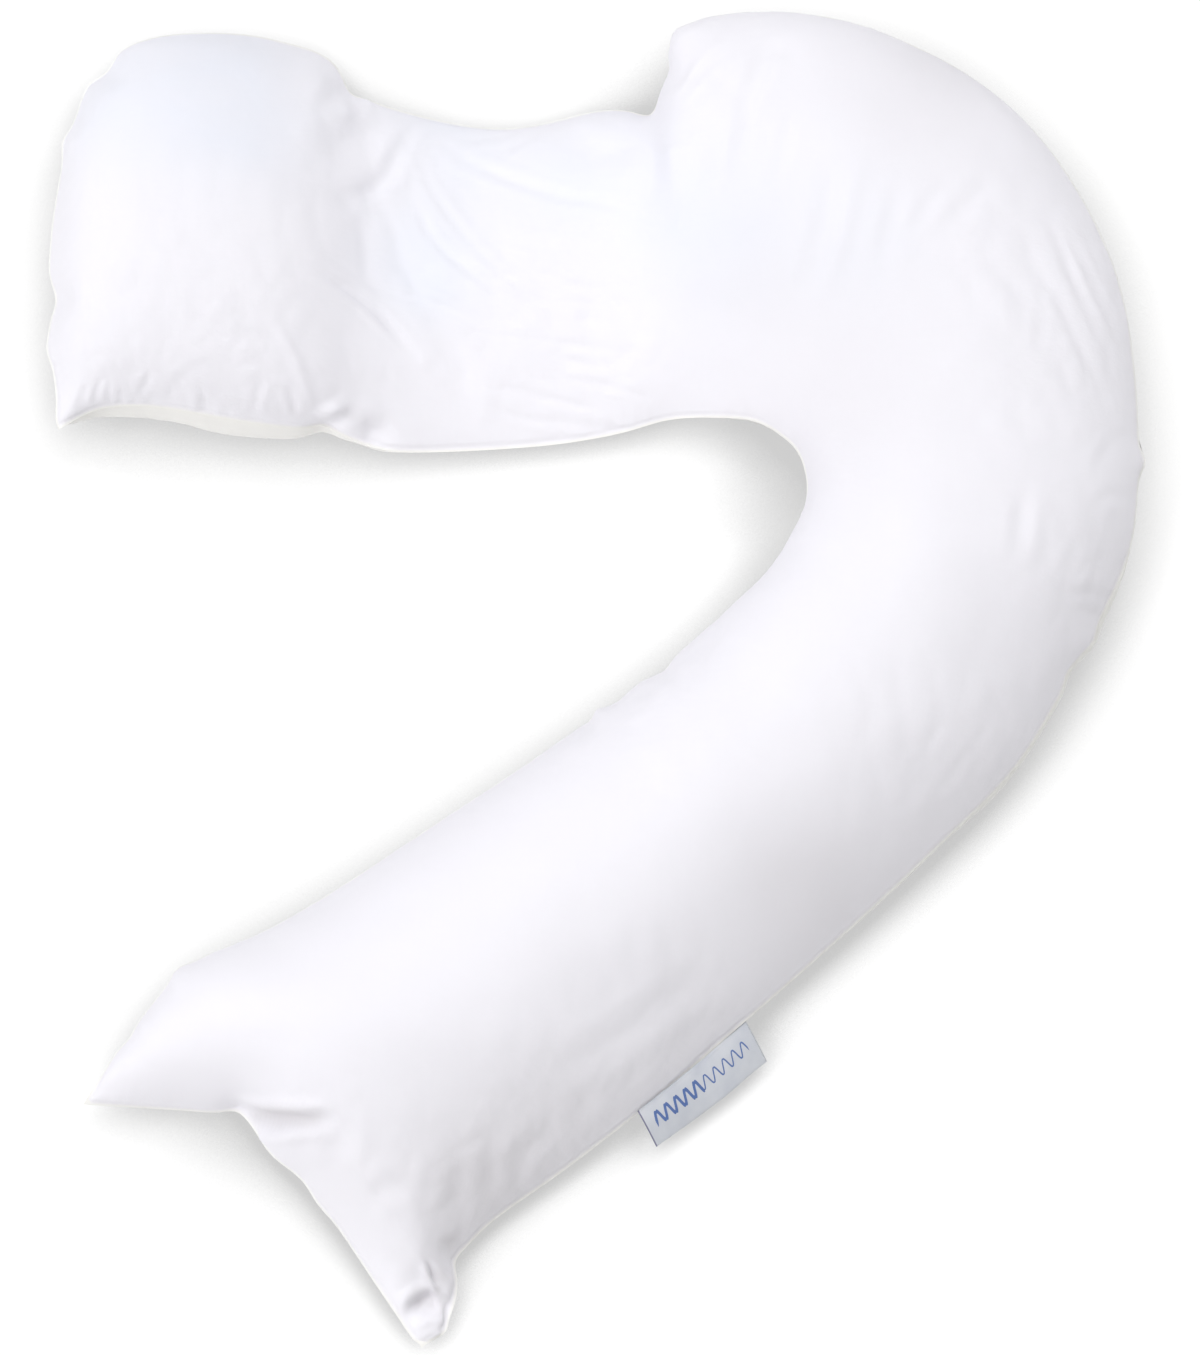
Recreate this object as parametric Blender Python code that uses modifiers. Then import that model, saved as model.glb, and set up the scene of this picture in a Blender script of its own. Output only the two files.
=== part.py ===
# A filled support pillow lying on the floor. It runs from a bump pad at the top left, through a slack
# flat panel, into a fat tube that bends round and comes down to a drawn-in tail with two points.
# A top cloth and an under cloth meet in one seam round the whole edge, and a folded woven label is
# caught in that seam. Metres, +Z up, the floor at z = 0. Tables are in millimetres.
import math

import bpy
import numpy as np
from mathutils import Vector
from mathutils.bvhtree import BVHTree

MM = 0.001
GAP = 0.3  # between two pieces that touch

# Each row is one section across the pillow, seen from above, from its inner seam to its outer seam.
# The inner side runs along the pad's foot, under the panel, round the inner corner and down the leg.
SECTION_COLUMNS = ("inner_x", "inner_y", "outer_x", "outer_y")
SECTIONS = [
    # bump pad, from its end seam
    (-484, 241, -466, 572),
    (-469, 251, -446, 599),
    (-442, 257, -412, 615),
    (-401, 257, -376, 619),
    (-354, 247, -340, 620),
    (-310, 240, -308, 618),
    (-272, 237, -280, 612),
    (-240, 238, -254, 607),
    (-218, 231, -235, 594),
    # flat panel
    (-190, 223, -217, 567),
    (-156, 225, -185, 556),
    (-114, 228, -137, 544),
    (-73, 231, -86, 536),
    (-32, 235, -40, 544),
    (4, 241, 2, 556),
    (32, 247, 32, 553),
    (53, 254, 51, 541),
    # head of the tube
    (71, 257, 58, 558),
    (89, 257, 60, 600),
    (105, 256, 82, 627),
    (123, 254, 125, 634),
    (140, 251, 179, 633),
    # bend
    (155, 244, 235, 623),
    (167, 234, 288, 600),
    (177, 225, 341, 571),
    (185, 213, 389, 530),
    (189, 199, 427, 481),
    (191, 185, 459, 421),
    (191, 169, 481, 358),
    (185, 149, 491, 272),
    (172, 125, 492, 194),
    (150, 91, 487, 121),
    # leg
    (121, 66, 461, 67),
    (86, 33, 417, -16),
    (49, 2, 380, -81),
    (4, -34, 328, -130),
    (-46, -68, 271, -186),
    (-95, -102, 214, -238),
    (-149, -138, 159, -287),
    (-203, -176, 106, -332),
    (-257, -211, 51, -381),
    (-307, -240, -1, -422),
    (-350, -253, -45, -455),
    # tail
    (-380, -276, -84, -481),
    (-401, -303, -112, -505),
    (-427, -335, -125, -532),
    (-446, -366, -122, -567),
    (-459, -385, -156, -607),
]

# How full the pillow is at some of those sections, and straight in between: the height of the crown,
# where across the section it lies, how pointed the arch is (0.5 is an ellipse, 1 a parabola), the height
# of the seam on each side, and how far the under cloth bulges past the seam on each side.
FILL_COLUMNS = (
    "section", "crown", "crown_at", "arch", "seam_inner", "seam_outer", "bulge_inner", "bulge_outer"
)
FILL = [
    (0, 138, 0.42, 0.58, 62, 52, 8, 4),
    (2, 158, 0.40, 0.64, 78, 58, 16, 4),
    (4, 159, 0.39, 0.66, 82, 58, 20, 4),
    (5, 151, 0.39, 0.66, 80, 54, 22, 4),
    (6, 136, 0.40, 0.64, 72, 46, 20, 4),
    (7, 116, 0.42, 0.62, 58, 40, 12, 4),
    (8, 96, 0.45, 0.60, 46, 34, 4, 3),
    (9, 80, 0.48, 0.60, 34, 28, 6, 2),
    (10, 69, 0.52, 0.60, 28, 24, 3, 1),
    (12, 66, 0.55, 0.60, 22, 21, 2, 0),
    (14, 80, 0.58, 0.60, 24, 24, 2, 0),
    (15, 91, 0.60, 0.60, 26, 30, 3, 1),
    (16, 103, 0.60, 0.58, 28, 38, 3, 1),
    (17, 117, 0.60, 0.56, 30, 50, 3, 2),
    (18, 131, 0.60, 0.54, 34, 60, 3, 2),
    (19, 144, 0.59, 0.53, 40, 68, 3, 3),
    (20, 155, 0.57, 0.52, 46, 74, 3, 3),
    (22, 168, 0.54, 0.52, 60, 80, 4, 3),
    (25, 175, 0.50, 0.54, 72, 82, 4, 4),
    (28, 178, 0.49, 0.56, 78, 82, 4, 5),
    (30, 180, 0.48, 0.58, 80, 82, 4, 6),
    (31, 181, 0.47, 0.62, 80, 76, 4, 8),
    (32, 182, 0.46, 0.68, 80, 70, 4, 10),
    (33, 184, 0.45, 0.72, 80, 64, 4, 12),
    (36, 186, 0.44, 0.76, 80, 50, 4, 8),
    (38, 185, 0.43, 0.78, 80, 44, 4, 6),
    (41, 178, 0.42, 0.78, 78, 38, 4, 4),
    (43, 168, 0.40, 0.76, 74, 36, 4, 3),
    (45, 152, 0.38, 0.72, 62, 32, 3, 2),
    (47, 128, 0.38, 0.66, 38, 30, 2, 2),
]

PLAN_CENTRE = (-4.0, 10.6)  # the middle of the whole plan, which becomes the origin
ACROSS = 12  # faces across each cloth before it is smoothed
UNDER_DEPTH = 1.5  # the under cloth would reach this many seam heights down, and the floor flattens it
PAD_END_BOW = (24, 19, 11, 4, 1)  # how far the first sections bow out towards the end seam
TAIL_NOTCH = (7, 18, 34, 58, 88)  # how far the last sections are drawn in at the notch
NOTCH_AT = 0.36  # where across the tail the notch lies
PAD_END_ROUND = 70  # the pad rises from its end seam over this distance
TAIL_END_ROUND = (38, 60, 110)  # the same for the tail: at the wing's tip, at the notch, at the low tip
SHARP_CORNERS = ((0, 0), (-1, 0), (-1, -1))  # (section, side) of the corners that stay pointed

# The label: folded tape that leaves the outer seam of the leg.
LABEL_FROM = (133, -305)  # its two ends along the seam
LABEL_TO = (35, -386)
LABEL_SECTION = 39  # the section that it sits beside
LABEL_DEEP = 42
LABEL_THICK = 1.6
LABEL_CLEAR = 0.6  # the seam's swell beside the tape, on top of the gap
LABEL_DROOP = 16  # its fold hangs this far below the seam
LABEL_DROOP_CURVE = 1.6  # above 1 it leaves the seam level and then bends down
LABEL_WAVE = 1.5  # height of the ripple along its fold
LABEL_WAVES = 1.25  # ripples in its length
LABEL_ROWS = 14
LABEL_STEPS = 6
LABEL_OUT = (0.646, -0.763)  # away from the seam


def clear_scene():
    for item in list(bpy.data.objects):
        bpy.data.objects.remove(item, do_unlink=True)


def new_material(name, colour, roughness):
    material = bpy.data.materials.new(name)
    material.use_nodes = True
    shader = material.node_tree.nodes["Principled BSDF"]
    shader.inputs["Base Color"].default_value = (*colour, 1.0)
    shader.inputs["Roughness"].default_value = roughness
    shader.inputs["Metallic"].default_value = 0.0
    return material


def new_piece(name, points, faces, material, collection):
    mesh = bpy.data.meshes.new(name)
    mesh.from_pydata([Vector(point) * MM for point in points], [], faces)
    mesh.materials.append(material)
    mesh.shade_smooth()
    piece = bpy.data.objects.new(name, mesh)
    collection.objects.link(piece)
    return piece


def fill_at(section):
    """The filling's columns at one section, by name."""
    table = np.array(FILL, float)
    return {
        column: float(np.interp(section, table[:, 0], table[:, index]))
        for index, column in enumerate(FILL_COLUMNS)
    }


def parabola(share):
    """0 at both edges and 1 in the middle."""
    return 4 * share * (1 - share)


def plan_point(section, share):
    """A point of the plan: share is 0 at the inner seam and 1 at the outer one."""
    row = dict(zip(SECTION_COLUMNS, SECTIONS[section]))
    inner = np.array((row["inner_x"], row["inner_y"]), float)
    chord = np.array((row["outer_x"], row["outer_y"])) - inner
    back = np.array((-chord[1], chord[0])) / np.linalg.norm(chord)
    drawn = 0.0
    inside = min(max(share, 0.0), 1.0)
    if section < len(PAD_END_BOW):
        drawn += PAD_END_BOW[section] * parabola(inside)
    from_tail = len(SECTIONS) - section
    if from_tail <= len(TAIL_NOTCH):
        drawn += TAIL_NOTCH[-from_tail] * min(inside / NOTCH_AT, (1 - inside) / (1 - NOTCH_AT))
    return inner + chord * share + back * drawn - np.array(PLAN_CENTRE)


def end_rise(section, share):
    """0 on an end seam and 1 where the filling has its full height, along a quarter round."""
    here = plan_point(section, share)
    rise = 1.0
    tail_round = np.interp(share, (0, NOTCH_AT, 1), TAIL_END_ROUND)
    for end, reach in ((0, PAD_END_ROUND), (len(SECTIONS) - 1, tail_round)):
        away = min(np.linalg.norm(here - plan_point(end, share)) / reach, 1.0)
        rise *= math.sqrt(1 - (1 - away) ** 2)
    return rise


def cloth_points(section, step):
    """The top point and the under point of one section, step faces in from the inner seam."""
    fill = fill_at(section)
    angle = math.pi * step / ACROSS
    share = (1 - math.cos(angle)) / 2
    seam = fill["seam_inner"] * (1 - share) + fill["seam_outer"] * share
    rise = end_rise(section, share)
    skewed = share ** (math.log(0.5) / math.log(fill["crown_at"]))
    top = seam + (fill["crown"] - seam) * parabola(skewed) ** fill["arch"] * rise
    under = max(0.0, seam - UNDER_DEPTH * seam * math.sin(angle) * rise)
    width = np.linalg.norm(plan_point(section, 1) - plan_point(section, 0))
    bulge = math.sin(math.pi * (seam - under) / seam) * rise / width
    if share < 0.5:
        under_share = share - fill["bulge_inner"] * bulge
    else:
        under_share = share + fill["bulge_outer"] * bulge
    return (*plan_point(section, share), top), (*plan_point(section, under_share), under)


def make_pillow(material, collection):
    """A cage of two cloths that share their edge, smoothed with the edge kept as a seam."""
    points = []
    top_index = {}
    under_index = {}
    last = len(SECTIONS) - 1
    for section in range(len(SECTIONS)):
        for step in range(ACROSS + 1):
            top, under = cloth_points(section, step)
            top_index[section, step] = len(points)
            under_index[section, step] = len(points)
            points.append(top)
            if 0 < section < last and 0 < step < ACROSS:
                under_index[section, step] = len(points)
                points.append(under)
    faces = []
    for section in range(last):
        for step in range(ACROSS):
            ring = ((section, step), (section + 1, step), (section + 1, step + 1), (section, step + 1))
            faces.append([top_index[corner] for corner in ring])
            faces.append([under_index[corner] for corner in reversed(ring)])
    pillow = new_piece("pillow", points, faces, material, collection)
    mesh = pillow.data
    seam_points = {
        top_index[place] for place in top_index if top_index[place] == under_index[place]
    }
    crease = mesh.attributes.new("crease_edge", "FLOAT", "EDGE")
    for edge in mesh.edges:
        if all(index in seam_points for index in edge.vertices):
            crease.data[edge.index].value = 1.0
    corner_crease = mesh.attributes.new("crease_vert", "FLOAT", "POINT")
    for section, side in SHARP_CORNERS:
        corner = top_index[section % len(SECTIONS), ACROSS if side else 0]
        corner_crease.data[corner].value = 1.0
    smoothing = pillow.modifiers.new("smoothing", "SUBSURF")
    smoothing.levels = 1
    smoothing.render_levels = 1
    return pillow


def surface_of(piece):
    """The smoothed surface of a piece, to place another piece against."""
    graph = bpy.context.evaluated_depsgraph_get()
    return BVHTree.FromObject(piece, graph)


def make_label(pillow, material, collection):
    """Folded tape that starts just off the seam and hangs out over the leg's foot."""
    surface = surface_of(pillow)
    out = Vector((*LABEL_OUT, 0)).normalized()
    seam_height = fill_at(LABEL_SECTION)["seam_outer"]
    points = []
    for row in range(LABEL_ROWS + 1):
        along = row / LABEL_ROWS
        x = LABEL_FROM[0] + (LABEL_TO[0] - LABEL_FROM[0]) * along - PLAN_CENTRE[0]
        y = LABEL_FROM[1] + (LABEL_TO[1] - LABEL_FROM[1]) * along - PLAN_CENTRE[1]
        start = Vector((x, y, seam_height)) + out * LABEL_DEEP
        hit = surface.ray_cast(start * MM, -out)[0] / MM
        edge = hit + out * (GAP + LABEL_CLEAR)
        for step in range(LABEL_STEPS + 1):
            away = step / LABEL_STEPS
            ripple = LABEL_WAVE * math.sin(2 * math.pi * LABEL_WAVES * along) * away
            drop = LABEL_DROOP * away**LABEL_DROOP_CURVE
            points.append(edge + out * LABEL_DEEP * away + Vector((0, 0, ripple - drop)))
    faces = []
    for row in range(LABEL_ROWS):
        for step in range(LABEL_STEPS):
            first = row * (LABEL_STEPS + 1) + step
            below = first + LABEL_STEPS + 1
            faces.append((first, first + 1, below + 1, below))
    label = new_piece("label", points, faces, material, collection)
    thickness = label.modifiers.new("folded tape", "SOLIDIFY")
    thickness.thickness = LABEL_THICK * MM
    thickness.offset = 0.0
    return label


def main():
    clear_scene()
    collection = bpy.data.collections.new("support_pillow")
    bpy.context.scene.collection.children.link(collection)
    cotton = new_material("white_cotton", (0.88, 0.88, 0.90), 0.85)
    satin = new_material("white_satin", (0.80, 0.82, 0.86), 0.45)
    pillow = make_pillow(cotton, collection)
    make_label(pillow, satin, collection)


main()
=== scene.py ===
import math

import bpy
import numpy as np
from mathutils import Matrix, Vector


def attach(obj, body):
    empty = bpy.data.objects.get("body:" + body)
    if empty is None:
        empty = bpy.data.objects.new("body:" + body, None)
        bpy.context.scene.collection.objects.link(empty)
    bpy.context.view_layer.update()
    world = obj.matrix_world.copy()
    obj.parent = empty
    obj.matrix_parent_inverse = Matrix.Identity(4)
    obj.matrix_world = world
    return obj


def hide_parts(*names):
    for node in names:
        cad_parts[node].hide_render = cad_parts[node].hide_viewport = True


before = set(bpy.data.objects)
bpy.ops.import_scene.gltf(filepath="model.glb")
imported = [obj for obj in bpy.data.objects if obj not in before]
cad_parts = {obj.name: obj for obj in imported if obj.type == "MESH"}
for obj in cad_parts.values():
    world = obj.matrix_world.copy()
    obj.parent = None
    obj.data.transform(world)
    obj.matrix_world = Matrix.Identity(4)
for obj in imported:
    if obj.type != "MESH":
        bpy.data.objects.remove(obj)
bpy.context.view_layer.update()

mm = 0.001  # tables are in millimetres unless they say pixels

# where the photograph was taken from: almost straight above, leaning towards the pillow's foot
picture = {
    "pixel": 0.9,  # mm of the seam's level in one pixel
    "wide": 1200,
    "high": 1355,
    "lookAt": (7.6, -11.1, 85.0),
    "tilt": math.radians(15),
    "away": 10000.0,
    "sensor": 36.0,
    "farthest": 100.0,  # m
}


def onPicture(points):
    # pixel coordinates of points given in mm
    leanSin, leanCos = math.sin(picture["tilt"]), math.cos(picture["tilt"])
    fromTarget = np.asarray(points, float) - np.array(picture["lookAt"])
    towards = fromTarget @ np.array((0, -leanSin, leanCos))
    upward = fromTarget @ np.array((0, leanCos, leanSin))
    nearness = picture["away"] / (picture["away"] - towards)
    across = picture["wide"] / 2 + fromTarget[..., 0] * nearness / picture["pixel"]
    down = picture["high"] / 2 - upward * nearness / picture["pixel"]
    return np.stack((across, down), axis=-1)


# ---- the pillow's form: sections across it from the inner seam to the outer seam, as the part's source has them:
# inner x, inner y, outer x, outer y
sectionTable = np.array([
    (-484, 241, -466, 572), (-469, 251, -446, 599), (-442, 257, -412, 615), (-401, 257, -376, 619),
    (-354, 247, -340, 620), (-310, 240, -308, 618), (-272, 237, -280, 612), (-240, 238, -254, 607),
    (-218, 231, -235, 594), (-190, 223, -217, 567), (-156, 225, -185, 556), (-114, 228, -137, 544),
    (-73, 231, -86, 536), (-32, 235, -40, 544), (4, 241, 2, 556), (32, 247, 32, 553),
    (53, 254, 51, 541), (71, 257, 58, 558), (89, 257, 60, 600), (105, 256, 82, 627),
    (123, 254, 125, 634), (140, 251, 179, 633), (155, 244, 235, 623), (167, 234, 288, 600),
    (177, 225, 341, 571), (185, 213, 389, 530), (189, 199, 427, 481), (191, 185, 459, 421),
    (191, 169, 481, 358), (185, 149, 491, 272), (172, 125, 492, 194), (150, 91, 487, 121),
    (121, 66, 461, 67), (86, 33, 417, -16), (49, 2, 380, -81), (4, -34, 328, -130),
    (-46, -68, 271, -186), (-95, -102, 214, -238), (-149, -138, 159, -287), (-203, -176, 106, -332),
    (-257, -211, 51, -381), (-307, -240, -1, -422), (-350, -253, -45, -455), (-380, -276, -84, -481),
    (-401, -303, -112, -505), (-427, -335, -125, -532), (-446, -366, -122, -567), (-459, -385, -156, -607),
], float)

# how full it is at some sections, through the bend and the leg a little fuller inside than the part's source:
# section, crown height, where the crown lies across, how pointed the arch is, seam height inner and outer,
# bulge of the under cloth inner and outer
fillTable = np.array([
    (0, 138, 0.42, 0.58, 62, 52, 8, 4), (2, 158, 0.40, 0.64, 78, 58, 16, 4), (4, 159, 0.39, 0.66, 82, 58, 20, 4),
    (5, 151, 0.39, 0.66, 80, 54, 22, 4), (6, 136, 0.40, 0.64, 72, 46, 20, 4), (7, 116, 0.42, 0.62, 58, 40, 12, 4),
    (8, 96, 0.45, 0.60, 46, 34, 4, 3), (9, 80, 0.48, 0.60, 34, 28, 6, 2),
    (10, 69, 0.52, 0.60, 28, 24, 3, 1), (12, 66, 0.55, 0.60, 22, 21, 2, 0), (14, 80, 0.58, 0.60, 24, 24, 2, 0),
    (15, 91, 0.60, 0.60, 26, 30, 3, 1), (16, 103, 0.60, 0.58, 28, 38, 3, 1), (17, 117, 0.60, 0.56, 30, 50, 3, 2),
    (18, 131, 0.60, 0.54, 34, 60, 3, 2), (19, 144, 0.59, 0.53, 40, 68, 3, 3), (20, 155, 0.57, 0.52, 46, 74, 3, 3),
    (22, 168, 0.51, 0.52, 60, 82, 4, 3), (25, 173, 0.44, 0.50, 72, 87, 4, 4), (28, 175, 0.42, 0.50, 78, 89, 4, 5),
    (30, 178, 0.42, 0.54, 80, 87, 4, 6), (31, 180, 0.42, 0.60, 80, 79, 4, 8),
    (32, 182, 0.43, 0.68, 80, 70, 4, 10), (33, 184, 0.44, 0.72, 80, 64, 4, 12),
    (36, 186, 0.44, 0.76, 80, 50, 4, 8), (38, 185, 0.44, 0.80, 80, 42, 4, 6), (41, 180, 0.44, 0.82, 78, 30, 4, 4),
    (43, 171, 0.42, 0.82, 74, 26, 4, 3), (45, 154, 0.39, 0.78, 62, 24, 3, 2), (47, 128, 0.37, 0.66, 38, 26, 2, 2),
], float)

pillowForm = {
    "across": 12,  # control steps across each cloth
    "planCentre": (-4.0, 10.6),
    "underDepth": 1.5,
    "padEndBow": (24, 19, 11, 4, 1),
    "tailNotch": (7, 18, 34, 58, 88),
    "notchAt": 0.36,
    "padEndRound": 70.0,
    "tailEndRound": (120.0, 72.0, 110.0),  # inner corner, notch, outer corner
    "alongGrid": 600,  # faces of the top cloth, lengthways and across
    "acrossGrid": 120,
    "underRatio": 2,  # top faces to one face of the under cloth
    # section, how close the rows lie
    "closeRows": ((0, 1.4), (14, 1.3), (19, 1.0), (36, 0.9), (41, 1.4), (47, 1.5)),
    "lineSteps": 2000,  # steps along the middle line when the rows are spaced
    "easing": (-1.5, -0.5, 0.5, 1.5),  # sections over which the filling is averaged
}


def fillAt(section):
    # eased over the sections beside it, so that no kink runs across the cloth
    around = section + np.array(pillowForm["easing"])
    return [float(np.interp(around, fillTable[:, 0], column).mean()) for column in fillTable[:, 1:].T]


def planPoint(section, share):
    row = sectionTable[section]
    chord = row[2:4] - row[0:2]
    back = np.array((-chord[1], chord[0])) / np.linalg.norm(chord)
    inside = min(max(share, 0.0), 1.0)
    drawn = 0.0
    bow, notch, notchAt = pillowForm["padEndBow"], pillowForm["tailNotch"], pillowForm["notchAt"]
    if section < len(bow):
        drawn += bow[section] * 4 * inside * (1 - inside)
    fromTail = len(sectionTable) - section
    if fromTail <= len(notch):
        drawn += notch[-fromTail] * min(inside / notchAt, (1 - inside) / (1 - notchAt))
    return row[0:2] + chord * share + back * drawn - np.array(pillowForm["planCentre"])


def endRise(section, share):
    here = planPoint(section, share)
    rise = 1.0
    tailRound = np.interp(share, (0, pillowForm["notchAt"], 1), pillowForm["tailEndRound"])
    for end, reach in ((0, pillowForm["padEndRound"]), (len(sectionTable) - 1, tailRound)):
        away = min(np.linalg.norm(here - planPoint(end, share)) / reach, 1.0)
        rise *= math.sqrt(1 - (1 - away) ** 2)
    return rise


def clothPoints(section, step):
    crown, crownAt, arch, seamInner, seamOuter, bulgeInner, bulgeOuter = fillAt(section)
    angle = math.pi * step / pillowForm["across"]
    share = (1 - math.cos(angle)) / 2
    seam = seamInner * (1 - share) + seamOuter * share
    rise = endRise(section, share)
    skewed = share ** (math.log(0.5) / math.log(crownAt))
    top = seam + (crown - seam) * max(4 * skewed * (1 - skewed), 0) ** arch * rise
    under = max(0.0, seam - pillowForm["underDepth"] * seam * math.sin(angle) * rise)
    width = np.linalg.norm(sectionTable[section, 2:4] - sectionTable[section, 0:2])
    bulge = math.sin(math.pi * (seam - under) / seam) * rise / width
    underShare = share - bulgeInner * bulge if share < 0.5 else share + bulgeOuter * bulge
    return np.append(planPoint(section, share), top), np.append(planPoint(section, underShare), under)


def splineRows(places, count):
    # weights of the control rows for points at these places along a cubic B-spline held at its ends
    weights = np.zeros((len(places), count))
    for row, place in enumerate(places):
        start = min(int(place), count - 2)
        t = place - start
        basis = (
            (1 - t) ** 3 / 6,
            (3 * t**3 - 6 * t**2 + 4) / 6,
            (-3 * t**3 + 3 * t**2 + 3 * t + 1) / 6,
            t**3 / 6,
        )
        for offset, weight in zip((-1, 0, 1, 2), basis):
            index = start + offset
            if index < 0:
                weights[row, 0] += 2 * weight
                weights[row, 1] -= weight
            elif index >= count:
                weights[row, -1] += 2 * weight
                weights[row, -2] -= weight
            else:
                weights[row, index] += weight
    return weights


def clothControls():
    sections, steps = len(sectionTable), pillowForm["across"] + 1
    top, under = np.zeros((sections, steps, 3)), np.zeros((sections, steps, 3))
    for section in range(sections):
        for step in range(steps):
            top[section, step], under[section, step] = clothPoints(section, step)
    for edge in (np.s_[0, :], np.s_[-1, :], np.s_[:, 0], np.s_[:, -1]):
        under[edge] = top[edge]
    return top, under


def evenPlaces(controls, count):
    # places along the pillow, at even lengths of its middle line but closer where the cloth is busy
    dense = np.linspace(0, len(controls) - 1, pillowForm["lineSteps"])
    line = splineRows(dense, len(controls)) @ controls[:, controls.shape[1] // 2]
    closeness = np.interp(dense[1:], *zip(*pillowForm["closeRows"]))
    run = np.concatenate(([0], np.cumsum(np.linalg.norm(np.diff(line, axis=0), axis=1) * closeness)))
    return np.interp(np.linspace(0, run[-1], count + 1), run, dense)


def clothGrids(along, across):
    top, under = clothControls()
    rows = splineRows(evenPlaces(top, along), top.shape[0])
    columns = splineRows(np.linspace(0, top.shape[1] - 1, across + 1), top.shape[1])
    return tuple(np.einsum("us,stk,vt->uvk", rows, cloth, columns) for cloth in (top, under))


def gridNormals(grid):
    alongStep = np.gradient(grid, axis=0)
    acrossStep = np.gradient(grid, axis=1)
    normals = np.cross(alongStep, acrossStep)
    return normals / np.maximum(np.linalg.norm(normals, axis=2, keepdims=True), 1e-9)


def lengthsAlong(grid, axis):
    steps = np.linalg.norm(np.diff(grid, axis=axis), axis=2)
    start = np.zeros_like(np.take(steps, [0], axis=axis))
    return np.concatenate((start, np.cumsum(steps, axis=axis)), axis=axis)


def cutPlaces(grid):
    # where each point lay on the flat cloth: from the crown line out along the threads, as metres
    middle = grid.shape[1] // 2
    lengths = lengthsAlong(grid, 1)
    across = grid[:, -1, :2] - grid[:, 0, :2]
    across /= np.linalg.norm(across, axis=1, keepdims=True)
    out = (lengths - lengths[:, middle:middle + 1])[..., None] * across[:, None, :]
    return (grid[:, middle:middle + 1, :2] + out) * mm


def coverMesh(name, top, under, ratio):
    # one closed mesh: the top grid, and every ratio-th point of the under grid, joined at the seam
    along, across = top.shape[0] - 1, top.shape[1] - 1
    topIndex = np.arange(top.shape[0] * top.shape[1]).reshape(top.shape[:2])
    inside = np.zeros(top.shape[:2], bool)
    inside[ratio:-1:ratio, ratio:-1:ratio] = True
    underIndex = topIndex.copy()
    underIndex[inside] = topIndex.size + np.arange(inside.sum())
    points = np.concatenate((top.reshape(-1, 3), under[inside])) * mm
    cutTop, cutUnder = cutPlaces(top), cutPlaces(under)
    a, b, c, d = topIndex[:-1, :-1], topIndex[1:, :-1], topIndex[1:, 1:], topIndex[:-1, 1:]
    faces = np.stack((a, b, c, d), axis=-1).reshape(-1, 4).tolist()
    corners = (cutTop[:-1, :-1], cutTop[1:, :-1], cutTop[1:, 1:], cutTop[:-1, 1:])
    places = np.stack(corners, axis=2).reshape(-1, 2).tolist()
    slots = [0] * len(faces)
    for i in range(0, along, ratio):
        for j in range(0, across, ratio):
            ring = [(i, j)]
            ring += [(i, j + k) for k in range(1, ratio)] if i == 0 else []
            ring.append((i, j + ratio))
            ring += [(i + k, j + ratio) for k in range(1, ratio)] if j + ratio == across else []
            ring.append((i + ratio, j + ratio))
            ring += [(i + ratio, j + ratio - k) for k in range(1, ratio)] if i + ratio == along else []
            ring.append((i + ratio, j))
            ring += [(i + ratio - k, j) for k in range(1, ratio)] if j == 0 else []
            fan = [ring]
            if len(ring) > ratio + 3:
                # at a corner of the seam a fan, so that it shares no diagonal with the top cloth
                middle = next(k for k, place in enumerate(ring) if inside[place])
                ring = ring[middle:] + ring[:middle]
                fan = [(ring[0], ring[k], ring[k + 1]) for k in range(1, len(ring) - 1)]
            for part in fan:
                faces.append([int(underIndex[place]) for place in part])
                places += [cutUnder[place].tolist() for place in part]
                slots.append(1)
    mesh = bpy.data.meshes.new(name)
    mesh.from_pydata(points.tolist(), [], faces)
    mesh.polygons.foreach_set("material_index", slots)
    mesh.uv_layers.new(name="cut").data.foreach_set("uv", np.array(places, np.float32).reshape(-1))
    marks, underMarks = clothMarks(top), clothMarks(under)
    for mark in marks:
        values = np.concatenate((marks[mark].reshape(-1), underMarks[mark][inside])).astype(np.float32)
        mesh.attributes.new(mark, "FLOAT", "POINT").data.foreach_set("value", values)
    ends = np.zeros(len(mesh.edges) * 2, int)
    mesh.edges.foreach_get("vertices", ends)
    onSeam = np.zeros(len(points), bool)
    for line in (topIndex[0], topIndex[-1], topIndex[:, 0], topIndex[:, -1]):
        onSeam[line] = True
    mesh.shade_smooth()
    sharp = mesh.attributes.new("sharp_edge", "BOOLEAN", "EDGE")
    sharp.data.foreach_set("value", onSeam[ends.reshape(-1, 2)].all(axis=1))
    return mesh, inside


def linked(name, mesh):
    item = bpy.data.objects.new(name, mesh)
    bpy.context.scene.collection.objects.link(item)
    return item


# ---- how the filled cover settles: a little more cloth than the form needs, pressed out by the filling
settling = {
    "step": 3,  # fine faces to one simulated face
    "frames": 20,
    "pressure": 4.0,
    "surplus": 0.03,  # share of extra cloth away from the seam
    "hold": 0.02,  # how firmly the cloth keeps to its form
    "seamHold": 0.6,
    "bending": 0.2,
    "stretch": 25,
    "shear": 10,
    "mass": 0.25,
    "quality": 6,
    "lyingBelow": 0.5,  # the under cloth up to this height stays on the floor
    "mostMove": 8.0,
}


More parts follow.
